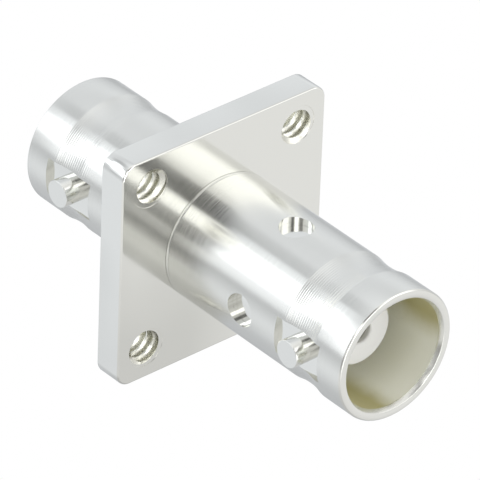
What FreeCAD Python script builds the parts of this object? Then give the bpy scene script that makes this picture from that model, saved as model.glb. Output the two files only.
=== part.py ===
import FreeCAD, Part
import math
import os

# Coaxial feed-through adapter: two bayonet jacks back to back on a square four-hole flange.
# The body is one turned piece: a hollow core in front, the square flange, and the rear jack behind.
# The front barrel is a tube pressed over the core, up to a low boss on the flange.
# Millimetres. The Y axis is the connector's axis, with the front jack towards -Y and +Z up.
# The origin is the centre of the flange's front face.
# Lengths along the axis are measured from a mouth or a face, and radii grow from the contact out.

# Flange, milled square on the turned body
flange_side = 17.45
flange_thickness = 2.2
flange_corner_radius = 1.1
flange_edge_break = 0.15
screw_spacing = 12.7
screw_thread_radius = 1.42
screw_hole_countersink = 0.12
boss_height = 0.12
boss_root_break = 0.06

# Lengths of the two jacks
front_reach = 17.52
rear_reach = 12.63
mouth_depth = 8.4
mouth_chamfer_depth = 0.35
mouth_chamfer_width = 0.16
mouth_edge_break = 0.1
barrel_end_break = 0.05

# Centre contact, a split socket at each end
contact_radius = 1.06
pin_bore_radius = 0.69
pin_bore_depth = 5.2
pin_bore_lead_in = 0.15
contact_slot_width = 0.2
contact_slot_turn = 45
contact_slot_length = 4.6
contact_tip_chamfer = 0.15
contact_neck_radius = 0.75
contact_screw_radius = 0.5
contact_screw_length = 2.0
contact_screw_end_gap = 0.2

# Insulators, turned from white plastic rod
nose_radius = 2.36
nose_length = 5.1
nose_edge_break = 0.08
nose_shoulder = 0.54
pin_hole_radius = 0.78
pin_hole_lip = 0.45
pin_hole_chamfer = 0.1
contact_tip_gap = 0.1
bead_length = 2.0
slip_clearance = 0.02

# Metal round the insulators, from the stop lips out to the barrels
lip_height = 0.6
lip_thickness = 0.6
core_wall = 0.77
press_clearance = 0.01
stop_ledge = 0.215
front_barrel_wall = 0.45
rear_barrel_step = 0.07
collar_step = 0.08

# Neck turned round the studs with a round tool, and the flats milled under the studs
neck_wall = 0.515
neck_tool_radius = 6.5
flat_wall = 0.305
flat_length = 4.35
flat_width = 2.82
front_stud_station = 4.42
rear_stud_station = 4.25
stud_radius = 1.0
stud_height = 0.69
stud_edge_break = 0.1

# Cross holes drilled through the front barrel and the core
cross_hole_radius = 1.2
cross_hole_setback = 1.7
cross_hole_count = 4

# How far a cutter runs past a face
cut_overrun = 1.0

# Radii that follow, from the axis out
lip_radius = nose_radius + nose_shoulder
insulator_radius = lip_radius + lip_height
core_radius = insulator_radius + core_wall
barrel_bore_radius = core_radius + press_clearance
mouth_radius = barrel_bore_radius - stop_ledge
front_barrel_radius = barrel_bore_radius + front_barrel_wall
front_collar_radius = front_barrel_radius + collar_step
rear_barrel_radius = front_barrel_radius - rear_barrel_step
rear_collar_radius = rear_barrel_radius + collar_step
neck_radius = mouth_radius + neck_wall
flat_distance = mouth_radius + flat_wall
stud_reach = front_collar_radius + stud_height

# Stations on the axis that follow
flange_back = flange_thickness
front_mouth = -front_reach
rear_mouth = flange_back + rear_reach
front_stop = front_mouth + mouth_depth
rear_stop = rear_mouth - mouth_depth
core_front = front_stop + lip_thickness
bead_front = (front_stop + rear_stop - bead_length) / 2
bead_back = bead_front + bead_length
cross_hole_plane = front_stop + cross_hole_setback
front_stud_plane = front_mouth + front_stud_station
rear_stud_plane = rear_mouth - rear_stud_station

axis_start = FreeCAD.Vector(0, 0, 0)
axis_along = FreeCAD.Vector(0, 1, 0)


def turned(outline):
    """Turn an outline about the Y axis. Each step is (radius, y), or (through, end) for an arc."""
    edges = []
    first = FreeCAD.Vector(outline[0][0], outline[0][1], 0)
    here = first
    for step in outline[1:]:
        if isinstance(step[0], tuple):
            through = FreeCAD.Vector(step[0][0], step[0][1], 0)
            there = FreeCAD.Vector(step[1][0], step[1][1], 0)
            edges.append(Part.Arc(here, through, there).toShape())
        else:
            there = FreeCAD.Vector(step[0], step[1], 0)
            edges.append(Part.LineSegment(here, there).toShape())
        here = there
    edges.append(Part.LineSegment(here, first).toShape())
    face = Part.Face(Part.Wire(edges))
    return face.revolve(axis_start, axis_along, 360)


def drilled(shape, holes):
    """Cut a list of holes from a shape and keep it one clean solid."""
    for hole in holes:
        shape = shape.cut(hole)
    return shape.removeSplitter()


def along_x(radius, near, far, y):
    """A round bar parallel to X, from near to far."""
    return Part.makeCylinder(radius, far - near, FreeCAD.Vector(near, y, 0), FreeCAD.Vector(1, 0, 0))


def jack_outline(mouth, inward, stud_plane, collar_radius, barrel_radius):
    """The outside of a jack, from the axis at its mouth to where the neck runs out on the barrel."""
    centre = neck_radius + neck_tool_radius
    collar_half = math.sqrt(neck_tool_radius ** 2 - (centre - collar_radius) ** 2)
    barrel_half = math.sqrt(neck_tool_radius ** 2 - (centre - barrel_radius) ** 2)
    return [
        (0, mouth),
        (collar_radius - mouth_edge_break, mouth),
        (collar_radius, mouth + inward * mouth_edge_break),
        (collar_radius, stud_plane - inward * collar_half),
        ((neck_radius, stud_plane), (barrel_radius, stud_plane + inward * barrel_half)),
    ]


def mouth_bore(mouth, stop, inward):
    """The space that a plug's sleeve enters, with the bevel at its mouth."""
    beyond = mouth - inward * cut_overrun
    wide = mouth_radius + mouth_chamfer_width
    return turned([
        (0, beyond),
        (wide, beyond),
        (wide, mouth),
        (mouth_radius, mouth + inward * mouth_chamfer_depth),
        (mouth_radius, stop),
        (0, stop),
    ])


def stud_seats(stud_plane):
    """The two milled flats and the two stud holes of a jack."""
    cuts = [along_x(stud_radius + press_clearance, -stud_reach, stud_reach, stud_plane)]
    for near in (flat_distance, -flat_distance - stud_reach):
        cuts.append(Part.makeBox(
            stud_reach, flat_length, flat_width,
            FreeCAD.Vector(near, stud_plane - flat_length / 2, -flat_width / 2)))
    return cuts


def cross_holes():
    """Holes spaced evenly round the axis, from inside the insulator's space to outside the barrel."""
    holes = []
    for number in range(cross_hole_count):
        turn = 2 * math.pi * number / cross_hole_count
        outward = FreeCAD.Vector(math.cos(turn), 0, math.sin(turn))
        start = outward * (insulator_radius / 2) + FreeCAD.Vector(0, cross_hole_plane, 0)
        holes.append(Part.makeCylinder(cross_hole_radius, front_barrel_radius, start, outward))
    return holes


def flange_plate():
    """The square plate with rounded corners, broken edges and four tapped holes."""
    half = flange_side / 2
    plate = Part.makeBox(
        flange_side, flange_thickness, flange_side, FreeCAD.Vector(-half, 0, -half))
    corners = [e for e in plate.Edges if abs(e.tangentAt(e.FirstParameter).y) > 0.9]
    plate = plate.makeFillet(flange_corner_radius, corners)
    rims = [e for e in plate.Edges if abs(e.tangentAt(e.FirstParameter).y) < 0.1]
    plate = plate.makeChamfer(flange_edge_break, rims)
    sink = screw_hole_countersink
    hole = turned([
        (0, -sink),
        (screw_thread_radius + 2 * sink, -sink),
        (screw_thread_radius, sink),
        (screw_thread_radius, flange_back - sink),
        (screw_thread_radius + 2 * sink, flange_back + sink),
        (0, flange_back + sink),
    ])
    for x in (-screw_spacing / 2, screw_spacing / 2):
        for z in (-screw_spacing / 2, screw_spacing / 2):
            plate = plate.cut(hole.translated(FreeCAD.Vector(x, 0, z)))
    return plate


def flange_body():
    """Core, boss, flange and rear jack in one piece, bored from the front to take the insulators."""
    middle = flange_thickness / 2
    front = turned([
        (0, core_front),
        (core_radius, core_front),
        (core_radius, -boss_height),
        (front_barrel_radius, -boss_height),
        (front_barrel_radius, -boss_root_break),
        (front_barrel_radius + boss_root_break, 0),
        (front_barrel_radius + boss_root_break, middle),
        (0, middle),
    ])
    rear_outline = jack_outline(rear_mouth, -1, rear_stud_plane, rear_collar_radius, rear_barrel_radius)
    rear_outline += [
        (rear_barrel_radius, middle),
        (0, middle),
    ]
    shape = flange_plate().fuse([front, turned(rear_outline)])
    bore = turned([
        (0, core_front - cut_overrun),
        (insulator_radius, core_front - cut_overrun),
        (insulator_radius, rear_stop - lip_thickness),
        (lip_radius, rear_stop - lip_thickness),
        (lip_radius, rear_stop),
        (0, rear_stop),
    ])
    cuts = [mouth_bore(rear_mouth, rear_stop, -1), bore]
    return drilled(shape, cuts + stud_seats(rear_stud_plane) + cross_holes())


def front_barrel():
    """The tube over the core. The lip inside stops the plug and holds the front insulator."""
    outline = jack_outline(front_mouth, 1, front_stud_plane, front_collar_radius, front_barrel_radius)
    outline += [
        (front_barrel_radius, -boss_height - barrel_end_break),
        (front_barrel_radius - barrel_end_break, -boss_height),
        (0, -boss_height),
    ]
    bore = turned([
        (0, front_stop),
        (lip_radius, front_stop),
        (lip_radius, core_front),
        (barrel_bore_radius, core_front),
        (barrel_bore_radius, -boss_height + cut_overrun),
        (0, -boss_height + cut_overrun),
    ])
    cuts = [mouth_bore(front_mouth, front_stop, 1), bore]
    return drilled(turned(outline), cuts + stud_seats(front_stud_plane) + cross_holes())


def stud(stud_plane, side):
    """A round pin pressed through the barrel wall, flush with the bore inside."""
    pin = turned([
        (0, 0),
        (stud_radius, 0),
        (stud_radius, stud_reach - stud_edge_break),
        (stud_radius - stud_edge_break, stud_reach),
        (0, stud_reach),
    ])
    pin.rotate(axis_start, FreeCAD.Vector(0, 0, 1), -90 * side)
    pin.translate(FreeCAD.Vector(0, stud_plane, 0))
    bore = Part.makeCylinder(
        mouth_radius, 4 * stud_radius, FreeCAD.Vector(0, stud_plane - 2 * stud_radius, 0), axis_along)
    return pin.cut(bore)


def insulator(stop, inward, bead_face):
    """A stepped insulator: nose, step in the lip, then the full body back to the bead."""
    face = stop - inward * nose_length
    bore = contact_radius + slip_clearance
    body = insulator_radius - slip_clearance
    step = lip_radius - slip_clearance
    return turned([
        (pin_hole_radius + pin_hole_chamfer, face),
        (nose_radius - nose_edge_break, face),
        (nose_radius, face + inward * nose_edge_break),
        (nose_radius, stop),
        (step, stop),
        (step, stop + inward * lip_thickness),
        (body, stop + inward * lip_thickness),
        (body, bead_face),
        (bore, bead_face),
        (bore, face + inward * pin_hole_lip),
        (pin_hole_radius, face + inward * pin_hole_lip),
        (pin_hole_radius, face + inward * pin_hole_chamfer),
    ])


def centre_bead():
    """The plain disc that the two halves of the contact clamp between them."""
    inside = contact_neck_radius + slip_clearance
    outside = insulator_radius - slip_clearance
    return turned([(inside, bead_front), (outside, bead_front), (outside, bead_back), (inside, bead_back)])


def contact_tip(stop, inward):
    """Where the contact's tip lies, just behind the lip of the insulator's pin hole."""
    return stop - inward * (nose_length - pin_hole_lip - contact_tip_gap)


def slotted(contact, tip, inward):
    """Saw the socket end into four springy fingers."""
    start = tip - cut_overrun if inward > 0 else tip - contact_slot_length
    across = contact_slot_width
    wide = 4 * contact_radius
    length = contact_slot_length + cut_overrun
    cuts = []
    for turn in (contact_slot_turn, contact_slot_turn + 90):
        cut = Part.makeBox(wide, length, across, FreeCAD.Vector(-wide / 2, start, -across / 2))
        cut.rotate(axis_start, axis_along, turn)
        cuts.append(cut)
    return drilled(contact, cuts)


def front_contact():
    """Front socket with a neck through the bead and a screw end for the rear socket."""
    tip = contact_tip(front_stop, 1)
    bore_end = tip + pin_bore_depth
    screw_end = bead_back + contact_screw_length
    half = turned([
        (pin_bore_radius + pin_bore_lead_in, tip),
        (contact_radius - contact_tip_chamfer / 2, tip),
        (contact_radius, tip + contact_tip_chamfer),
        (contact_radius, bead_front),
        (contact_neck_radius, bead_front),
        (contact_neck_radius, bead_back),
        (contact_screw_radius, bead_back),
        (contact_screw_radius, screw_end),
        (0, screw_end),
        (0, bore_end + pin_bore_radius / 2),
        (pin_bore_radius, bore_end),
        (pin_bore_radius, tip + pin_bore_lead_in),
    ])
    return slotted(half, tip, 1)


def rear_contact():
    """Rear socket, tapped in its foot to screw on to the front socket."""
    tip = contact_tip(rear_stop, -1)
    bore_end = tip - pin_bore_depth
    hole_radius = contact_screw_radius + press_clearance
    hole_end = bead_back + contact_screw_length + contact_screw_end_gap
    half = turned([
        (hole_radius, bead_back),
        (contact_radius, bead_back),
        (contact_radius, tip - contact_tip_chamfer),
        (contact_radius - contact_tip_chamfer / 2, tip),
        (pin_bore_radius + pin_bore_lead_in, tip),
        (pin_bore_radius, tip - pin_bore_lead_in),
        (pin_bore_radius, bore_end),
        (0, bore_end - pin_bore_radius / 2),
        (0, hole_end),
        (hole_radius, hole_end),
    ])
    return slotted(half, tip, -1)


pieces = {
    "flange_body": flange_body(),
    "front_barrel": front_barrel(),
    "front_insulator": insulator(front_stop, 1, bead_front),
    "rear_insulator": insulator(rear_stop, -1, bead_back),
    "centre_bead": centre_bead(),
    "front_contact": front_contact(),
    "rear_contact": rear_contact(),
}
for jack, stud_plane in (("front", front_stud_plane), ("rear", rear_stud_plane)):
    for side, name in ((-1, "left"), (1, "right")):
        pieces[jack + "_" + name + "_stud"] = stud(stud_plane, side)

os.makedirs("parts", exist_ok=True)
for name, shape in pieces.items():
    shape.exportStep("parts/" + name + ".step")
    print(name, "solids", len(shape.Solids), "volume", round(shape.Volume, 2), "valid", shape.isValid())
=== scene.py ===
import bpy
import math
from mathutils import Matrix, Vector


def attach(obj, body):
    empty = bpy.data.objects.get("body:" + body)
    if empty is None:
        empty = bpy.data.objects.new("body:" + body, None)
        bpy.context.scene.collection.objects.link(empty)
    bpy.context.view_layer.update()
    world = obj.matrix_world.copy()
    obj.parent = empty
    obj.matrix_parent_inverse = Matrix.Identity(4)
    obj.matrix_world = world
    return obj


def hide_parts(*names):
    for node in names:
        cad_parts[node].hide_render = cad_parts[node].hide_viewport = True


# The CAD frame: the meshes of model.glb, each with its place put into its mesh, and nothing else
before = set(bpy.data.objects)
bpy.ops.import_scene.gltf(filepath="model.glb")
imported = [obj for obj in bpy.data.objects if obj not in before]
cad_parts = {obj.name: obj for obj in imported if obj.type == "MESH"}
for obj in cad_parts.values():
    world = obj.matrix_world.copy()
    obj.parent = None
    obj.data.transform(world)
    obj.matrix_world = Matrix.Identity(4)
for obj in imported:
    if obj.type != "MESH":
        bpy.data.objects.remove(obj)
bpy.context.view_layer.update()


# Camera
# The photograph is taken through a long lens from almost half a metre, at the front left and above.
# Its place, aim and roll are those of the flange's square hole pattern in the photograph.
MM = 0.001
camera_place = Vector((-247.76, -282.55, 251.38)) * MM
camera_aim = Vector((0.712, -1.05, -0.02)) * MM
camera_roll = math.radians(2.237)
camera_lens = 509.96
camera_sensor_width = 36
nearest_seen = 0.01
farthest_seen = 10

looking = (camera_aim - camera_place).normalized()
level_right = looking.cross(Vector((0, 0, 1))).normalized()
level_up = level_right.cross(looking)
right = level_right * math.cos(camera_roll) + level_up * math.sin(camera_roll)
up = level_up * math.cos(camera_roll) - level_right * math.sin(camera_roll)
bpy.ops.object.camera_add()
camera = bpy.context.object
camera.name = "photo_camera"
camera.data.lens = camera_lens
camera.data.sensor_width = camera_sensor_width
camera.data.clip_start = nearest_seen
camera.data.clip_end = farthest_seen
turn = Matrix((right, up, -looking)).transposed()
camera.matrix_world = Matrix.Translation(camera_place) @ turn.to_4x4()
bpy.context.scene.camera = camera
bpy.context.scene.view_settings.view_transform = "Standard"


# Floor
# A white shooting table, lit from below, so that no shadow falls on it.
# The metal mirrors the tent round it and not the table, which is too bright for that.
flange_side = 17.45
floor_size = 4.0
table_colour = "FFFFFF"
table_strength = 1.0


def linear(colour):
    """A colour in hex as linear red, green, blue and alpha."""
    parts = [int(colour[i:i + 2], 16) / 255 for i in (0, 2, 4)]
    return [p / 12.92 if p <= 0.04045 else ((p + 0.055) / 1.055) ** 2.4 for p in parts] + [1]


def node(tree, kind, inputs=(), **settings):
    """Add a node to a tree with its settings, and set its inputs or join them to other nodes."""
    made = tree.nodes.new(kind)
    for name, value in settings.items():
        setattr(made, name, value)
    for socket, value in dict(inputs).items():
        if isinstance(value, bpy.types.NodeSocket):
            tree.links.new(value, made.inputs[socket])
        else:
            made.inputs[socket].default_value = value
    return made


bpy.ops.mesh.primitive_plane_add(size=floor_size, location=(0, 0, -flange_side / 2 * MM))
floor = bpy.context.object
floor.name = "shooting_table"
table_white = bpy.data.materials.new("lit white acrylic")
table_white.use_nodes = True
table_white.node_tree.nodes.clear()
lit = node(table_white.node_tree, "ShaderNodeEmission", {
    "Color": linear(table_colour), "Strength": table_strength})
node(table_white.node_tree, "ShaderNodeOutputMaterial", {"Surface": lit.outputs[0]})
floor.data.materials.append(table_white)
floor.visible_glossy = False
floor.visible_diffuse = False
floor.visible_shadow = False


# Light
# A white fabric tent, darker at the horizon and straight below, with soft lights behind it at the
# left and in front at the right, and a low one straight ahead. It opens darkly for the camera.

# height, from -1 straight below to 1 straight above, and the brightness there
tent_by_height = [
    (-1.00, 0.56), (-0.79, 0.62), (-0.64, 0.79), (-0.45, 0.88), (-0.24, 0.68), (-0.08, 0.63),
    (0.08, 0.70), (0.24, 0.82), (0.42, 0.90), (0.62, 0.78), (0.79, 0.68), (0.90, 0.92),
    (1.00, 1.05),
]

# azimuth from +Y towards +X, elevation, the angles at which the light's full core and its soft edge
# end, all in degrees, and its strength, which is below zero for a dark cloth
tent_lights = [
    (-46, 27, 9, 18, 1.00),
    (-34, 42, 4, 10, 0.60),
    (-26, 17, 7, 15, 0.50),
    (-76, 14, 8, 20, 0.70),
    (-54, 9, 5, 14, 0.30),
    (-52, -4, 2, 8, -0.10),
    (-18, 50, 4, 14, -0.20),
    (50, -13, 4, 11, -0.16),
    (0, -54, 8, 26, -0.04),
    (35, -42, 6, 16, -0.14),
    (141, 30, 14, 30, 0.66),
    (129, -6, 6, 22, 0.20),
    (-135, -30, 3, 10, -0.18),
    (-131, -15, 5, 13, -0.42),
    (-110, 4, 12, 26, -0.34),
    (-131, 17, 6, 12, -0.70),
    (-163, 49, 9, 18, -0.80),
    (-141, 36, 8, 12, 1.00),
    (-111, 36, 6, 13, -0.55),
    (-100, 56, 5, 13, -0.60),
    (-167, 34, 4, 11, -0.50),
    (178, -8, 14, 30, 2.30),
]
tent_least = 0.04
tent_strength = 1.0
tent_front_tint = (1.0, 1.0, 1.0, 1)
tent_back_tint = (0.97, 1.0, 1.05, 1)
tint_change = (-0.3, 0.6)

world = bpy.data.worlds.new("fabric tent")
bpy.context.scene.world = world
world.use_nodes = True
sky = world.node_tree
sky.nodes.clear()
direction = node(sky, "ShaderNodeTexCoord").outputs["Generated"]
height = node(sky, "ShaderNodeSeparateXYZ", {0: direction}).outputs["Z"]
upwards = node(sky, "ShaderNodeMapRange", {"Value": height, "From Min": -1.0, "From Max": 1.0})
fabric = node(sky, "ShaderNodeValToRGB", {"Fac": upwards.outputs[0]})
fabric.color_ramp.interpolation = "B_SPLINE"
for number, (at, brightness) in enumerate(tent_by_height):
    # the ramp comes with two stops
    stops = fabric.color_ramp.elements
    stop = stops[number] if number < 2 else stops.new((at + 1) / 2)
    stop.position = (at + 1) / 2
    stop.color = (brightness, brightness, brightness, 1)
brightness = fabric.outputs["Color"]
for azimuth, elevation, core, edge, strength in tent_lights:
    a, e = math.radians(azimuth), math.radians(elevation)
    middle = (math.sin(a) * math.cos(e), math.cos(a) * math.cos(e), math.sin(e))
    facing = node(sky, "ShaderNodeVectorMath", {0: direction, 1: middle}, operation="DOT_PRODUCT")
    glow = node(sky, "ShaderNodeMapRange", {
        "Value": facing.outputs["Value"],
        "From Min": math.cos(math.radians(edge)), "From Max": math.cos(math.radians(core)),
        "To Min": 0.0, "To Max": strength}, interpolation_type="SMOOTHSTEP")
    brightness = node(sky, "ShaderNodeVectorMath", {
        0: brightness, 1: glow.outputs[0]}, operation="ADD").outputs[0]
brightness = node(sky, "ShaderNodeVectorMath", {
    0: brightness, 1: [tent_least] * 3}, operation="MAXIMUM").outputs[0]
backwards = node(sky, "ShaderNodeMapRange", {
    "Value": node(sky, "ShaderNodeSeparateXYZ", {0: direction}).outputs["Y"],
    "From Min": tint_change[0], "From Max": tint_change[1]}, interpolation_type="SMOOTHSTEP")
tint = node(sky, "ShaderNodeMix", {
    "Factor": backwards.outputs[0], "A": tent_front_tint, "B": tent_back_tint}, data_type="RGBA")
tinted = node(
    sky, "ShaderNodeVectorMath", {0: brightness, 1: tint.outputs[2]}, operation="MULTIPLY")
tent = node(sky, "ShaderNodeBackground", {"Color": tinted.outputs[0], "Strength": tent_strength})
node(sky, "ShaderNodeOutputWorld", {"Surface": tent.outputs[0]})


# Body: hollow core in front, square flange and rear jack
# One piece of brass, turned from a square bar and milled, bored from the front to take the
# insulators, then silver plated all over. The front barrel is pressed on to its core later.
flange_thickness = 2.2
flange_corner_radius = 1.1
flange_corner_steps = 16
flange_edge_break = 0.15
screw_spacing = 12.7
screw_hole_radius = 1.42
screw_hole_countersink = 0.02
screw_thread_pitch = 0.635
screw_thread_height = 0.33
screw_thread_bite = 0.04
screw_thread_root_share = 0.9
screw_thread_crest_share = 0.16
screw_thread_turns = 5
screw_thread_steps = 64
screw_thread_starts = (0.4, 2.1, 3.7, 5.2)
boss_height = 0.12
boss_root_break = 0.015
lip_radius = 2.9
insulator_radius = 3.5
core_radius = 4.27
core_front = -8.52
mouth_radius = 4.065
mouth_chamfer_width = 0.16
mouth_chamfer_depth = 0.35
mouth_edge_break = 0.1
neck_radius = 4.58
neck_tool_radius = 6.5
rear_barrel_radius = 4.66
rear_collar_radius = 4.74
rear_mouth = 14.83
rear_stop = 6.43
lip_thickness = 0.6
boss_radius = 4.73
rear_stud_plane = 10.58
front_stud_plane = -13.1
flat_distance = 4.36
flat_length = 4.35
flat_width = 2.82
stud_hole_radius = 1.002
stud_hole_reach = 7
cross_hole_plane = -7.42
cross_hole_radius = 1.2
cross_hole_floor = 4.1
turning_steps = 256
edge_rounding = 0.02
weld_distance = 0.0001

# the block that mills a flat, and how far past the metal a tool reaches
cutter_depth = 2
overshoot = 1


def deselect():
    """Leave nothing selected, in object mode."""
    bpy.ops.object.select_all(action="DESELECT")


def pick(piece):
    """Select one piece alone and make it the active one."""
    deselect()
    piece.select_set(True)
    bpy.context.view_layer.objects.active = piece


def settle():
    """Put the selected piece's place, turn and size into its mesh."""
    bpy.ops.object.transform_apply(location=True, rotation=True, scale=True)


def copied(piece, name):
    """Copy a piece, with a mesh of its own."""
    pick(piece)
    bpy.ops.object.duplicate(linked=False)
    copy = bpy.context.object
    copy.name = copy.data.name = name
    return copy


def turned(name, outline, steps=turning_steps):
    """Turn an outline about the Y axis, ring after ring. A step is (radius, y), in millimetres."""
    deselect()
    radius, y = outline[0]
    bpy.ops.mesh.primitive_circle_add(
        vertices=steps, radius=radius, location=(0, y, 0), rotation=(math.pi / 2, 0, 0))
    piece = bpy.context.object
    piece.name = piece.data.name = name
    settle()
    bpy.ops.object.mode_set(mode="EDIT")
    for next_radius, next_y in outline[1:]:
        bpy.ops.mesh.extrude_region_move()
        if next_radius != radius:
            ratio = next_radius / radius
            bpy.ops.transform.resize(value=(ratio, 1, ratio), center_override=(0, y, 0))
        if next_y != y:
            bpy.ops.transform.translate(value=(0, next_y - y, 0))
        radius, y = next_radius, next_y
    if outline[-1] != outline[0]:
        bpy.ops.mesh.edge_face_add()
        bpy.ops.mesh.select_all(action="DESELECT")
        bpy.ops.mesh.select_mode(type="VERT")
        bpy.ops.mesh.select_non_manifold()
        bpy.ops.mesh.edge_face_add()
    bpy.ops.mesh.select_all(action="SELECT")
    bpy.ops.mesh.remove_doubles(threshold=weld_distance)
    bpy.ops.mesh.normals_make_consistent(inside=False)
    bpy.ops.object.mode_set(mode="OBJECT")
    return piece


def neck(stud_plane, start_radius, end_radius, steps=14):
    """The steps of the shallow round neck about a stud, along +Y."""
    middle = neck_radius + neck_tool_radius
    start = -math.sqrt(neck_tool_radius ** 2 - (middle - start_radius) ** 2)
    end = math.sqrt(neck_tool_radius ** 2 - (middle - end_radius) ** 2)
    path = []
    for number in range(steps + 1):
        along = start + (end - start) * number / steps
        path.append((middle - math.sqrt(neck_tool_radius ** 2 - along ** 2), stud_plane + along))
    return path


def modified(piece, kind, **settings):
    """Add a modifier with its settings and apply it."""
    pick(piece)
    bpy.ops.object.modifier_add(type=kind)
    step = piece.modifiers[-1]
    for name, value in settings.items():
        setattr(step, name, value)
    bpy.ops.object.modifier_apply(modifier=step.name)


def softened(piece, width=edge_rounding, sharper_than=7, rounds=2):
    """Round every edge a little, as tumbling and plating leave it."""
    modified(
        piece, "BEVEL", width=width, segments=rounds, limit_method="ANGLE",
        angle_limit=math.radians(sharper_than), use_clamp_overlap=True)


def cut(piece, cutters, operation="DIFFERENCE"):
    """Cut with every cutter, or join to it, and throw the cutter away."""
    for cutter in cutters:
        modified(piece, "BOOLEAN", operation=operation, object=cutter, solver="EXACT")
        bpy.data.objects.remove(cutter)


def bar(radius, near, far, across, axis, steps=96):
    """A round cutter along X or Z, from near to far, through the given y."""
    middle = (near + far) / 2
    place = (middle, across, 0) if axis == "X" else (0, across, middle)
    turn = (0, math.pi / 2, 0) if axis == "X" else (0, 0, 0)
    deselect()
    bpy.ops.mesh.primitive_cylinder_add(
        vertices=steps, radius=radius, depth=abs(far - near), location=place, rotation=turn)
    settle()
    return bpy.context.object


def flat_cutters(stud_plane):
    """The two flats under a jack's studs, and the hole for both studs."""
    cutters = [bar(stud_hole_radius, -stud_hole_reach, stud_hole_reach, stud_plane, "X")]
    for side in (-1, 1):
        deselect()
        bpy.ops.mesh.primitive_cube_add(
            size=1, location=(side * (flat_distance + cutter_depth / 2), stud_plane, 0),
            scale=(cutter_depth, flat_length, flat_width))
        settle()
        cutters.append(bpy.context.object)
    return cutters


def cross_hole_cutters():
    """Four holes round the axis, through the barrel's wall and flat-ended just in the core."""
    near, far = cross_hole_floor, boss_radius + overshoot
    return [
        bar(cross_hole_radius, start, end, cross_hole_plane, axis)
        for axis in ("X", "Z") for start, end in ((near, far), (-far, -near))]


body = turned("plated_body", [
    (insulator_radius, core_front),
    (core_radius, core_front),
    (core_radius, -boss_height),
    (boss_radius, -boss_height),
    (boss_radius, -boss_root_break),
    (boss_radius + boss_root_break, 0),
    (boss_radius + boss_root_break, flange_thickness / 2),
    (rear_barrel_radius, flange_thickness / 2),
] + neck(rear_stud_plane, rear_barrel_radius, rear_collar_radius) + [
    (rear_collar_radius, rear_mouth - mouth_edge_break),
    (rear_collar_radius - mouth_edge_break, rear_mouth),
    (mouth_radius + mouth_chamfer_width, rear_mouth),
    (mouth_radius, rear_mouth - mouth_chamfer_depth),
    (mouth_radius, rear_stop),
    (lip_radius, rear_stop),
    (lip_radius, rear_stop - lip_thickness),
    (insulator_radius, rear_stop - lip_thickness),
    (insulator_radius, core_front),
])
softened(body)

deselect()
bpy.ops.mesh.primitive_cube_add(
    size=1, location=(0, flange_thickness / 2, 0),
    scale=(flange_side, flange_thickness, flange_side))
plate = bpy.context.object
settle()
bpy.ops.object.mode_set(mode="EDIT")
bpy.ops.mesh.select_all(action="DESELECT")
bpy.ops.mesh.select_mode(type="EDGE")
bpy.ops.object.mode_set(mode="OBJECT")
for edge in plate.data.edges:
    first, second = (plate.data.vertices[v].co for v in edge.vertices)
    edge.select = abs(first.y - second.y) > flange_thickness / 2
bpy.ops.object.mode_set(mode="EDIT")
bpy.ops.mesh.bevel(offset=flange_corner_radius, segments=flange_corner_steps, affect="EDGES")
bpy.ops.object.mode_set(mode="OBJECT")
softened(plate, width=flange_edge_break, sharper_than=60, rounds=3)

screw_hole_places = [(x, z) for x in (-1, 1) for z in (-1, 1)]
hole_cutters = []
for x, z in screw_hole_places:
    sink = screw_hole_countersink
    tool = turned("screw_hole_tool", [
        (screw_hole_radius + 4 * sink, -3 * sink),
        (screw_hole_radius + 2 * sink, -sink),
        (screw_hole_radius, sink),
        (screw_hole_radius, flange_thickness - sink),
        (screw_hole_radius + 2 * sink, flange_thickness + sink),
        (screw_hole_radius + 4 * sink, flange_thickness + 3 * sink),
    ], steps=96)
    tool.location = (x * screw_spacing / 2, 0, z * screw_spacing / 2)
    settle()
    hole_cutters.append(tool)
cut(plate, hole_cutters)
cut(body, [plate], operation="UNION")

# one thread is wound from the outline of its ridge, trimmed inside the faces, and set in each hole
deselect()
bpy.ops.mesh.primitive_plane_add(size=1)
thread = bpy.context.object
bpy.ops.object.mode_set(mode="EDIT")
bpy.ops.transform.resize(value=(
    screw_thread_height + screw_thread_bite, screw_thread_pitch * screw_thread_root_share, 1))
bpy.ops.transform.translate(value=(
    screw_hole_radius - screw_thread_height / 2 + screw_thread_bite / 2, -screw_thread_pitch, 0))
bpy.ops.mesh.select_all(action="DESELECT")
bpy.ops.object.mode_set(mode="OBJECT")
for vertex in thread.data.vertices:
    vertex.select = vertex.co.x < screw_hole_radius - screw_thread_height / 2
bpy.ops.object.mode_set(mode="EDIT")
bpy.ops.transform.resize(value=(1, screw_thread_crest_share, 1))
bpy.ops.mesh.select_all(action="SELECT")
bpy.ops.mesh.delete(type="ONLY_FACE")
bpy.ops.object.mode_set(mode="OBJECT")
modified(
    thread, "SCREW", axis="Y", screw_offset=screw_thread_pitch, iterations=screw_thread_turns,
    steps=screw_thread_steps, render_steps=screw_thread_steps, use_merge_vertices=True,
    use_smooth_shade=False)
bpy.ops.object.mode_set(mode="EDIT")
for trim, way in ((screw_hole_countersink, -1), (flange_thickness - screw_hole_countersink, 1)):
    bpy.ops.mesh.select_all(action="SELECT")
    bpy.ops.mesh.bisect(
        plane_co=(0, trim, 0), plane_no=(0, way, 0), use_fill=True, clear_outer=True)
bpy.ops.mesh.select_all(action="SELECT")
bpy.ops.mesh.normals_make_consistent(inside=False)
bpy.ops.object.mode_set(mode="OBJECT")
threads = [thread] + [copied(thread, "screw_thread") for hole in screw_hole_places[1:]]
for piece, start, (x, z) in zip(threads, screw_thread_starts, screw_hole_places):
    pick(piece)
    piece.rotation_euler.y = start
    piece.location = (x * screw_spacing / 2, 0, z * screw_spacing / 2)
    settle()

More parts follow.
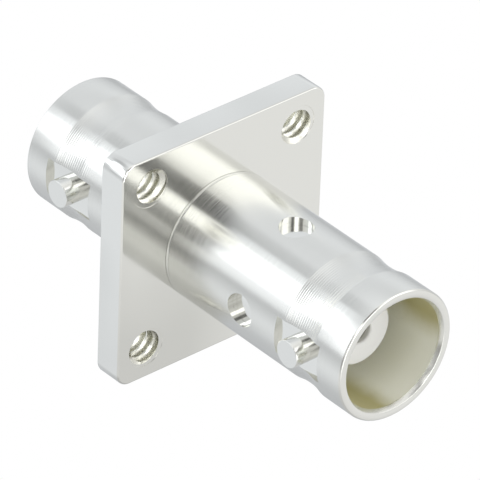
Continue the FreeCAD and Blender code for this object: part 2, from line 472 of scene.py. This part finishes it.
# the union has filled the bore where the flange is, so it is bored once more
cut(body, [turned("body_bore_tool", [
    (insulator_radius, core_front - overshoot), (insulator_radius, rear_stop - lip_thickness)])])
cut(body, flat_cutters(rear_stud_plane) + cross_hole_cutters())
deselect()
for piece in threads + [body]:
    piece.select_set(True)
bpy.context.view_layer.objects.active = body
bpy.ops.object.join()


def finished(piece, *materials, smooth=30):
    """Scale a piece from millimetres to metres, shade it and give it its materials."""
    pick(piece)
    piece.scale = (MM, MM, MM)
    settle()
    bpy.ops.object.shade_smooth_by_angle(angle=math.radians(smooth))
    modified(piece, "WEIGHTED_NORMAL", keep_sharp=True, weight=50)
    piece.data.materials.clear()
    for material in materials:
        piece.data.materials.append(material)


# how near to its plane or circle a face's centre lies, in millimetres, and the least part of its
# normal that points along an axis
face_margin = 0.001
flat_squareness = 0.999
stop_squareness = 0.9
screw_hole_squareness = 0.99


def painted(piece, material, chosen):
    """Give one of a piece's materials to the faces that are chosen by their centre and normal."""
    number = piece.data.materials.find(material.name)
    for face in piece.data.polygons:
        if chosen(face.center, face.normal):
            face.material_index = number


def on_the_flange(centre, normal):
    """True for the flange's faces and sides."""
    return -face_margin * MM < centre.y < (flange_thickness + face_margin) * MM


def on_a_flat(centre, normal):
    """True for the milled flats under the studs."""
    return abs(normal.x) > flat_squareness and abs(centre.x) < (flat_distance + face_margin) * MM


def in_a_mouth(centre, normal):
    """True for faces that look at the axis, or along it, inside a jack's mouth."""
    inwards = normal.x * centre.x + normal.z * centre.z
    around = math.hypot(centre.x, centre.z)
    inside = around < (mouth_radius + face_margin) * MM
    return inside and (inwards < 0 or abs(normal.y) > stop_squareness)


def in_a_cross_hole(centre, normal):
    """True for the walls and floors of the cross holes."""
    across = min(abs(centre.x), abs(centre.z))
    from_middle = math.hypot(across, centre.y - cross_hole_plane * MM)
    return from_middle < (cross_hole_radius + face_margin) * MM


def in_a_screw_hole(centre, normal):
    """True for the walls and threads of the screw holes."""
    half = screw_spacing / 2 * MM
    from_middle = math.hypot(abs(centre.x) - half, abs(centre.z) - half)
    inside = from_middle < (screw_hole_radius + screw_hole_countersink) * MM
    return inside and abs(normal.y) < screw_hole_squareness


# Bright silver over turned brass. The tool has left fine grooves round the axis, which smear part
# of every reflection along the axis and leave it sharp round the barrel. Silver is faintly yellow.
# Real grooves and feed marks are too fine to show, so both are drawn coarser.
silver_colour = "EEEEE9"
polished_roughness = 0.15
grooved_roughness = 0.24
groove_stretch = 1.0
groove_width = 0.09
groove_contrast = (0.3, 0.7)
feed_mark_width = 0.19
feed_mark_depth = 0.005
neck_reach = 1.9

silver = bpy.data.materials.new("bright silver plate, turned")
silver.use_nodes = True
tree = silver.node_tree
tree.nodes.clear()
place = node(tree, "ShaderNodeTexCoord").outputs["Object"]
normal = node(tree, "ShaderNodeNewGeometry").outputs["Normal"]
along_grooves = node(
    tree, "ShaderNodeVectorMath", {0: (0, 1, 0), 1: place}, operation="CROSS_PRODUCT")
across_grooves = node(tree, "ShaderNodeVectorMath", {
    0: along_grooves.outputs[0], 1: normal}, operation="CROSS_PRODUCT")
from_axis = node(tree, "ShaderNodeVectorMath", {0: along_grooves.outputs[0]}, operation="LENGTH")
along_axis = node(tree, "ShaderNodeSeparateXYZ", {0: place}).outputs["Y"]
profile = node(
    tree, "ShaderNodeMath", {0: from_axis.outputs["Value"], 1: along_axis}, operation="ADD")
grooves = node(tree, "ShaderNodeTexNoise", {
    "W": profile.outputs[0], "Scale": 1 / (groove_width * MM), "Detail": 2.0},
    noise_dimensions="1D")
roughness = node(tree, "ShaderNodeMapRange", {
    "Value": grooves.outputs[0], "From Min": groove_contrast[0], "From Max": groove_contrast[1],
    "To Min": polished_roughness, "To Max": grooved_roughness})
feed = node(tree, "ShaderNodeMath", {
    0: profile.outputs[0], 1: math.tau / (feed_mark_width * MM)}, operation="MULTIPLY")
height = node(tree, "ShaderNodeMath", {0: feed.outputs[0]}, operation="SINE").outputs[0]
in_a_neck = 0.0
for stud_plane in (front_stud_plane, rear_stud_plane):
    past = node(tree, "ShaderNodeMath", {0: along_axis, 1: stud_plane * MM}, operation="SUBTRACT")
    off = node(tree, "ShaderNodeMath", {0: past.outputs[0]}, operation="ABSOLUTE")
    in_a_neck = node(tree, "ShaderNodeMath", {
        0: in_a_neck,
        1: node(tree, "ShaderNodeMapRange", {
            "Value": off.outputs[0], "From Min": neck_reach * MM, "From Max": neck_reach / 2 * MM,
            "To Min": 0.0, "To Max": 1.0}, interpolation_type="SMOOTHSTEP").outputs[0]},
        operation="ADD").outputs[0]
marked = node(tree, "ShaderNodeBump", {
    "Height": height, "Distance": feed_mark_depth * MM, "Strength": in_a_neck})
surface = node(tree, "ShaderNodeBsdfPrincipled", {
    "Base Color": linear(silver_colour), "Metallic": 1.0, "Roughness": roughness.outputs[0],
    "Anisotropic": groove_stretch, "Tangent": across_grooves.outputs[0],
    "Normal": marked.outputs[0]})
node(tree, "ShaderNodeOutputMaterial", {"Surface": surface.outputs[0]})

# The same plate on the flat faces, which are milled and then tumbled: no grooves, but a mirror that
# is a little uneven, with faint smudges in it and a tone that differs at random. A painted shade
# makes faces that look along the axis darker towards the lower left, for the shadow they mirror
# there.
# The cross holes and the rims of the two mouths have it too.
milled_roughness = 0.08
smudged_roughness = 0.14
smudge_size = 2.6
smudge_contrast = (0.4, 0.65)
milled_colour = "F1F1EC"
# the darker tone of the random unevenness, which also carries the painted shade
tone_and_painted_shade_colour = "DADAD5"
shade_size = 9.0
painted_shade_per_mm = 0.03
shade_contrast = (0.45, 1.0)
unevenness_size = 1.4
unevenness_depth = 0.0007

milled_silver = bpy.data.materials.new("bright silver plate, milled")
milled_silver.use_nodes = True
tree = milled_silver.node_tree
tree.nodes.clear()
place = node(tree, "ShaderNodeTexCoord").outputs["Object"]
smudges = node(tree, "ShaderNodeTexNoise", {
    "Vector": place, "Scale": 1 / (smudge_size * MM), "Detail": 4.0})
shade = node(tree, "ShaderNodeTexNoise", {
    "Vector": place, "Scale": 1 / (shade_size * MM), "Detail": 1.0})
# painted shade: faces that look along the axis are drawn darker towards the lower left
painted_shade_to_lower_left = node(tree, "ShaderNodeVectorMath", {
    0: place, 1: (-painted_shade_per_mm / MM, 0.0, -painted_shade_per_mm / MM)}, operation="DOT_PRODUCT")
normal = node(tree, "ShaderNodeNewGeometry").outputs["Normal"]
lengthwise = node(tree, "ShaderNodeSeparateXYZ", {0: normal}).outputs["Y"]
on_a_face = node(tree, "ShaderNodeMath", {0: lengthwise}, operation="ABSOLUTE")
painted_shade_on_faces = node(tree, "ShaderNodeMath", {
    0: painted_shade_to_lower_left.outputs["Value"], 1: on_a_face.outputs[0]}, operation="MULTIPLY")
tone_and_painted_shade = node(
    tree, "ShaderNodeMath", {0: shade.outputs[0], 1: painted_shade_on_faces.outputs[0]}, operation="ADD")
tone_and_painted_shade_mix = node(tree, "ShaderNodeMapRange", {
    "Value": tone_and_painted_shade.outputs[0], "From Min": shade_contrast[0], "From Max": shade_contrast[1]})
colour = node(tree, "ShaderNodeMix", {
    "Factor": tone_and_painted_shade_mix.outputs[0], "A": linear(milled_colour), "B": linear(tone_and_painted_shade_colour)},
    data_type="RGBA")
roughness = node(tree, "ShaderNodeMapRange", {
    "Value": smudges.outputs[0], "From Min": smudge_contrast[0], "From Max": smudge_contrast[1],
    "To Min": milled_roughness, "To Max": smudged_roughness})
unevenness = node(tree, "ShaderNodeTexNoise", {
    "Vector": place, "Scale": 1 / (unevenness_size * MM), "Detail": 1.0})
uneven = node(tree, "ShaderNodeBump", {
    "Height": unevenness.outputs[0], "Distance": unevenness_depth * MM})
surface = node(tree, "ShaderNodeBsdfPrincipled", {
    "Base Color": colour.outputs[2], "Metallic": 1.0, "Roughness": roughness.outputs[0],
    "Normal": uneven.outputs[0]})
node(tree, "ShaderNodeOutputMaterial", {"Surface": surface.outputs[0]})

# Deep in a bore the plate goes on thin and dull and scatters part of the light. Two bands along the
# bore, at the upper right and the lower left, carry a painted shade of dark khaki for the shade and
# yellowed inter-reflections deep in the bore; between them it stays near white where light falls
# in.
# The boring tool's rings are drawn coarser than real ones, which are too fine to show.
bored_colour = "FBFBEE"
# the dark khaki of the painted shade in the bores
bore_painted_shade_colour = "BDB684"
bored_roughness = 0.3
bored_metal_share = 0.1
bore_painted_shade_patch_size = 3.0
bore_painted_shade_patchiness = 0.3
bore_painted_shade_band_per_mm = 0.175
bore_painted_shade_band_offset = 0.05
bore_painted_shade_band_edge = (0.7, 0.3)
boring_ring_width = 0.25
boring_ring_depth = 0.001

bored_silver = bpy.data.materials.new("dull silver plate, bored")
bored_silver.use_nodes = True
tree = bored_silver.node_tree
tree.nodes.clear()
place = node(tree, "ShaderNodeTexCoord").outputs["Object"]
patches = node(tree, "ShaderNodeTexNoise", {
    "Vector": place, "Scale": 1 / (bore_painted_shade_patch_size * MM), "Detail": 3.0})
patchiness = node(tree, "ShaderNodeMath", {
    0: patches.outputs[0], 1: bore_painted_shade_patchiness}, operation="MULTIPLY")
across_bands = node(tree, "ShaderNodeVectorMath", {
    0: place, 1: (-bore_painted_shade_band_per_mm / MM, 0.0, bore_painted_shade_band_per_mm / MM)},
    operation="DOT_PRODUCT")
patchy = node(tree, "ShaderNodeMath", {
    0: patchiness.outputs[0], 1: across_bands.outputs["Value"]}, operation="ADD")
moved = node(tree, "ShaderNodeMath", {
    0: patchy.outputs[0], 1: bore_painted_shade_band_offset}, operation="ADD")
from_band = node(tree, "ShaderNodeMath", {0: moved.outputs[0]}, operation="ABSOLUTE")
# painted shade: the khaki bands at the upper right and the lower left of each bore
bore_painted_shade = node(tree, "ShaderNodeMapRange", {
    "Value": from_band.outputs[0],
    "From Min": bore_painted_shade_band_edge[0], "From Max": bore_painted_shade_band_edge[1]},
    interpolation_type="SMOOTHSTEP")
colour = node(tree, "ShaderNodeMix", {
    "Factor": bore_painted_shade.outputs[0], "A": linear(bored_colour), "B": linear(bore_painted_shade_colour)},
    data_type="RGBA")
along_axis = node(tree, "ShaderNodeSeparateXYZ", {0: place}).outputs["Y"]
rings = node(tree, "ShaderNodeTexNoise", {
    "W": along_axis, "Scale": 1 / (boring_ring_width * MM), "Detail": 1.0}, noise_dimensions="1D")
ringed = node(tree, "ShaderNodeBump", {
    "Height": rings.outputs[0], "Distance": boring_ring_depth * MM})
surface = node(tree, "ShaderNodeBsdfPrincipled", {
    "Base Color": colour.outputs[2], "Metallic": bored_metal_share, "Roughness": bored_roughness,
    "Normal": ringed.outputs[0]})
node(tree, "ShaderNodeOutputMaterial", {"Surface": surface.outputs[0]})

# In the tapped holes the plate is as bright as outside, but torn a little by the tap
tapped_colour = "F1F0E6"
tapped_roughness = 0.16
torn_roughness = 0.32
tear_size = 0.3
tear_contrast = (0.4, 0.6)

tapped_silver = bpy.data.materials.new("bright silver plate, tapped")
tapped_silver.use_nodes = True
tree = tapped_silver.node_tree
tree.nodes.clear()
place = node(tree, "ShaderNodeTexCoord").outputs["Object"]
tears = node(tree, "ShaderNodeTexNoise", {
    "Vector": place, "Scale": 1 / (tear_size * MM), "Detail": 2.0})
roughness = node(tree, "ShaderNodeMapRange", {
    "Value": tears.outputs[0], "From Min": tear_contrast[0], "From Max": tear_contrast[1],
    "To Min": tapped_roughness, "To Max": torn_roughness})
surface = node(tree, "ShaderNodeBsdfPrincipled", {
    "Base Color": linear(tapped_colour), "Metallic": 1.0, "Roughness": roughness.outputs[0]})
node(tree, "ShaderNodeOutputMaterial", {"Surface": surface.outputs[0]})

finished(body, silver, milled_silver, bored_silver, tapped_silver)
painted(body, milled_silver, on_the_flange)
painted(body, milled_silver, on_a_flat)
painted(body, milled_silver, in_a_cross_hole)
painted(body, milled_silver, lambda centre, normal: centre.y > (rear_mouth - face_margin) * MM)
painted(body, tapped_silver, in_a_screw_hole)
painted(body, bored_silver, lambda centre, normal: (
    centre.y > (rear_stop - face_margin) * MM and in_a_mouth(centre, normal)))
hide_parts("flange_body")
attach(body, "root")


# Front barrel
# A plated brass tube pressed over the core up to the flange's boss. A lip inside it stops the plug
# and holds the front insulator. Four cross holes are drilled through it and end flat in the core.
front_barrel_radius = 4.73
front_collar_radius = 4.81
barrel_bore_radius = 4.28
front_mouth = -17.52
front_stop = -9.12
seam_gap = 0.03

barrel = turned("plated_front_barrel", [
    (barrel_bore_radius, 0),
    (barrel_bore_radius, core_front),
    (lip_radius, core_front),
    (lip_radius, front_stop),
    (mouth_radius, front_stop),
    (mouth_radius, front_mouth + mouth_chamfer_depth),
    (mouth_radius + mouth_chamfer_width, front_mouth),
    (front_collar_radius - mouth_edge_break, front_mouth),
    (front_collar_radius, front_mouth + mouth_edge_break),
] + neck(front_stud_plane, front_collar_radius, front_barrel_radius) + [
    (front_barrel_radius, 0),
    (barrel_bore_radius, 0),
])
softened(barrel)
cut(barrel, [turned("barrel_end_tool", [
    (front_collar_radius, -boss_height - seam_gap), (front_collar_radius, overshoot)])])
cut(barrel, flat_cutters(front_stud_plane) + cross_hole_cutters())
finished(barrel, silver, milled_silver, bored_silver)
painted(barrel, milled_silver, on_a_flat)
painted(barrel, milled_silver, in_a_cross_hole)
painted(barrel, milled_silver, lambda centre, normal: centre.y < (front_mouth + face_margin) * MM)
painted(barrel, bored_silver, lambda centre, normal: (
    centre.y < (front_stop + face_margin) * MM and in_a_mouth(centre, normal)))
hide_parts("front_barrel")
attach(barrel, "root")


# Bayonet studs
# Four round silver-plated pins, pressed through the jacks' walls at the flats and flush inside.
# One is turned, fitted to the bore and copied to the other three places.
stud_radius = 1.0
stud_reach = 5.5
stud_edge_break = 0.03
stud_foot = 3.8
foot_margin = 0.02
foot_squareness = 0.8

# Bright silver over drawn brass pin: a soft mirror with faint drawing lines along the pin. They are
# drawn coarser than real ones, which are too fine to show.
pin_roughness = 0.1
pin_line_roughness = 0.17
drawing_line_width = 0.12
drawing_line_squeeze = 0.04
drawing_line_contrast = (0.35, 0.65)

pin_silver = bpy.data.materials.new("bright silver plate, drawn pin")
pin_silver.use_nodes = True
tree = pin_silver.node_tree
tree.nodes.clear()
place = node(tree, "ShaderNodeTexCoord").outputs["Object"]
stretched = node(tree, "ShaderNodeVectorMath", {
    0: place, 1: (drawing_line_squeeze, 1.0, 1.0)}, operation="MULTIPLY")
lines = node(tree, "ShaderNodeTexNoise", {
    "Vector": stretched.outputs[0], "Scale": 1 / (drawing_line_width * MM), "Detail": 2.0})
roughness = node(tree, "ShaderNodeMapRange", {
    "Value": lines.outputs[0],
    "From Min": drawing_line_contrast[0], "From Max": drawing_line_contrast[1],
    "To Min": pin_roughness, "To Max": pin_line_roughness})
surface = node(tree, "ShaderNodeBsdfPrincipled", {
    "Base Color": linear(silver_colour), "Metallic": 1.0, "Roughness": roughness.outputs[0]})
node(tree, "ShaderNodeOutputMaterial", {"Surface": surface.outputs[0]})


def on_a_foot(centre, normal):
    """True for the end of a stud that is flush with the wall of the mouth."""
    from_axis = math.hypot(centre.x, centre.z)
    return from_axis < (mouth_radius + foot_margin) * MM and abs(normal.x) > foot_squareness


stud = turned("plated_stud_front_right", [
    (stud_radius, stud_foot),
    (stud_radius, stud_reach - stud_edge_break),
    (stud_radius - stud_edge_break, stud_reach),
], steps=128)
softened(stud, sharper_than=30)
stud.rotation_euler.z = -math.pi / 2
settle()
cut(stud, [turned("stud_foot_tool", [
    (mouth_radius, -stud_radius - overshoot), (mouth_radius, stud_radius + overshoot)])])
studs = [stud] + [copied(stud, name) for name in (
    "plated_stud_front_left", "plated_stud_rear_right", "plated_stud_rear_left")]
for piece in studs:
    pick(piece)
    piece.rotation_euler.z = math.pi if piece.name.endswith("left") else 0
    piece.location.y = front_stud_plane if "front" in piece.name else rear_stud_plane
    settle()
    finished(piece, pin_silver, bored_silver)
    painted(piece, bored_silver, on_a_foot)
    end, side = piece.name.split("_")[2:]
    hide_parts(end + "_" + side + "_stud")
    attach(piece, "root")


# Insulators
# Two stepped sleeves of white fluoropolymer, turned from rod, one from each end of the bore.
# Each nose stands in its jack's mouth, round the centre contact, and has a lip at the pin hole.
nose_radius = 2.36
nose_face = -14.22
nose_edge_break = 0.08
pin_hole_radius = 0.78
pin_hole_lip = 0.45
pin_hole_chamfer = 0.1
insulator_edge_rounding = 0.025
contact_bore_radius = 1.08
slip_clearance = 0.02
bead_front = -2.345
bead_back = -0.345

# White plastic that lets a little light in and looks waxy, a little duller in places. Turning lines
# run round it, drawn coarser than real ones, which are too fine to show.
plastic_colour = "DBDBDA"
plastic_ior = 1.36
lit_share = 0.15
lit_depth = 0.6
plastic_line_width = 0.12
plastic_line_depth = 0.004
waxy_patch_size = 1.0
waxy_patch_contrast = (0.35, 0.65)
waxy_roughness = 0.38
dull_roughness = 0.55

fluoropolymer = bpy.data.materials.new("white fluoropolymer, turned")
fluoropolymer.use_nodes = True
tree = fluoropolymer.node_tree
tree.nodes.clear()
place = node(tree, "ShaderNodeTexCoord").outputs["Object"]
around = node(tree, "ShaderNodeVectorMath", {0: (0, 1, 0), 1: place}, operation="CROSS_PRODUCT")
from_axis = node(tree, "ShaderNodeVectorMath", {0: around.outputs[0]}, operation="LENGTH")
along_axis = node(tree, "ShaderNodeSeparateXYZ", {0: place}).outputs["Y"]
profile = node(
    tree, "ShaderNodeMath", {0: from_axis.outputs["Value"], 1: along_axis}, operation="ADD")
lines = node(tree, "ShaderNodeTexNoise", {
    "W": profile.outputs[0], "Scale": 1 / (plastic_line_width * MM), "Detail": 1.0},
    noise_dimensions="1D")
lined = node(tree, "ShaderNodeBump", {
    "Height": lines.outputs[0], "Distance": plastic_line_depth * MM})
wax = node(tree, "ShaderNodeTexNoise", {
    "Vector": place, "Scale": 1 / (waxy_patch_size * MM), "Detail": 2.0})
roughness = node(tree, "ShaderNodeMapRange", {
    "Value": wax.outputs[0], "From Min": waxy_patch_contrast[0], "From Max": waxy_patch_contrast[1],
    "To Min": waxy_roughness, "To Max": dull_roughness})
surface = node(tree, "ShaderNodeBsdfPrincipled", {
    "Base Color": linear(plastic_colour), "Roughness": roughness.outputs[0], "IOR": plastic_ior,
    "Subsurface Weight": lit_share, "Subsurface Radius": [lit_depth * MM] * 3,
    "Subsurface Scale": 1.0, "Normal": lined.outputs[0]})
node(tree, "ShaderNodeOutputMaterial", {"Surface": surface.outputs[0]})

insulator = turned("white_insulator_front", [
    (pin_hole_radius + pin_hole_chamfer, nose_face),
    (nose_radius - nose_edge_break, nose_face),
    (nose_radius, nose_face + nose_edge_break),
    (nose_radius, front_stop),
    (lip_radius - slip_clearance, front_stop),
    (lip_radius - slip_clearance, core_front),
    (insulator_radius - slip_clearance, core_front),
    (insulator_radius - slip_clearance, bead_front),
    (contact_bore_radius, bead_front),
    (contact_bore_radius, nose_face + pin_hole_lip),
    (pin_hole_radius, nose_face + pin_hole_lip),
    (pin_hole_radius, nose_face + pin_hole_chamfer),
    (pin_hole_radius + pin_hole_chamfer, nose_face),
], steps=192)
softened(insulator, width=insulator_edge_rounding, sharper_than=20)
rear_insulator = copied(insulator, "white_insulator_rear")
rear_insulator.rotation_euler.z = math.pi
rear_insulator.location.y = bead_front + bead_back
settle()
for piece, stands_for in ((insulator, "front_insulator"), (rear_insulator, "rear_insulator")):
    finished(piece, fluoropolymer)
    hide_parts(stands_for)
    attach(piece, "root")


# Centre bead
# A plain disc of the same plastic between the insulators, which the two contacts clamp.
# Nothing of it is seen, and its CAD shape stays.
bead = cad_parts["centre_bead"]
bead.material_slots[0].material = fluoropolymer


# Centre contacts
# Two sockets of springy copper alloy, silver plated, sawn into four fingers at the mouth end.
# The front one has a neck through the bead and a pin that screws into the rear one.
contact_radius = 1.06
pin_bore_radius = 0.69
pin_bore_depth = 5.2
pin_bore_lead_in = 0.15
contact_tip_chamfer = 0.15
contact_tip = -13.67
rear_contact_tip = 10.98
contact_neck_radius = 0.75
contact_screw_radius = 0.5
contact_screw_end = 1.655
contact_screw_hole_radius = 0.51
contact_screw_hole_end = 1.855
contact_slot_width = 0.2
contact_slot_length = 4.6
contact_saw_width = 4
drill_point_radius = 0.05

# Thin silver over a coppery spring alloy: a warmer, softer shine with turning rings round it, drawn
# coarser than real ones, which are too fine to show
contact_colour = "F0EEE6"
contact_worn_colour = "E6E0D0"
contact_wear_size = 1.0
contact_smooth_roughness = 0.144
contact_ringed_roughness = 0.336
contact_metal_share = 0.35
contact_ring_width = 0.1

contact_plate = bpy.data.materials.new("silver plate on spring alloy")
contact_plate.use_nodes = True
tree = contact_plate.node_tree
tree.nodes.clear()
place = node(tree, "ShaderNodeTexCoord").outputs["Object"]
rings = node(tree, "ShaderNodeTexNoise", {
    "W": node(tree, "ShaderNodeSeparateXYZ", {0: place}).outputs["Y"],
    "Scale": 1 / (contact_ring_width * MM), "Detail": 1.0}, noise_dimensions="1D")
wear = node(tree, "ShaderNodeTexNoise", {
    "Vector": place, "Scale": 1 / (contact_wear_size * MM), "Detail": 2.0})
colour = node(tree, "ShaderNodeMix", {
    "Factor": wear.outputs[0], "A": linear(contact_colour), "B": linear(contact_worn_colour)},
    data_type="RGBA")
roughness = node(tree, "ShaderNodeMapRange", {
    "Value": rings.outputs[0],
    "To Min": contact_smooth_roughness, "To Max": contact_ringed_roughness})
surface = node(tree, "ShaderNodeBsdfPrincipled", {
    "Base Color": colour.outputs[2], "Metallic": contact_metal_share,
    "Roughness": roughness.outputs[0]})
node(tree, "ShaderNodeOutputMaterial", {"Surface": surface.outputs[0]})

front_contact = turned("split_contact_front", [
    (drill_point_radius, contact_tip + pin_bore_depth + pin_bore_radius / 2),
    (pin_bore_radius, contact_tip + pin_bore_depth),
    (pin_bore_radius, contact_tip + pin_bore_lead_in),
    (pin_bore_radius + pin_bore_lead_in, contact_tip),
    (contact_radius - contact_tip_chamfer / 2, contact_tip),
    (contact_radius, contact_tip + contact_tip_chamfer),
    (contact_radius, bead_front),
    (contact_neck_radius, bead_front),
    (contact_neck_radius, bead_back),
    (contact_screw_radius, bead_back),
    (contact_screw_radius, contact_screw_end),
], steps=96)
rear_contact = turned("split_contact_rear", [
    (contact_screw_hole_radius, contact_screw_hole_end),
    (contact_screw_hole_radius, bead_back),
    (contact_radius, bead_back),
    (contact_radius, rear_contact_tip - contact_tip_chamfer),
    (contact_radius - contact_tip_chamfer / 2, rear_contact_tip),
    (pin_bore_radius + pin_bore_lead_in, rear_contact_tip),
    (pin_bore_radius, rear_contact_tip - pin_bore_lead_in),
    (pin_bore_radius, rear_contact_tip - pin_bore_depth),
    (drill_point_radius, rear_contact_tip - pin_bore_depth - pin_bore_radius / 2),
], steps=96)
for piece, tip, way in ((front_contact, contact_tip, 1), (rear_contact, rear_contact_tip, -1)):
    softened(piece, sharper_than=20)
    saws = []
    for turn in (math.pi / 4, -math.pi / 4):
        deselect()
        bpy.ops.mesh.primitive_cube_add(
            size=1, location=(0, tip + way * (contact_slot_length - overshoot) / 2, 0),
            rotation=(0, turn, 0),
            scale=(contact_saw_width, contact_slot_length + overshoot, contact_slot_width))
        settle()
        saws.append(bpy.context.object)
    cut(piece, saws)
    finished(piece, contact_plate)
    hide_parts("front_contact" if way > 0 else "rear_contact")
    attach(piece, "root")
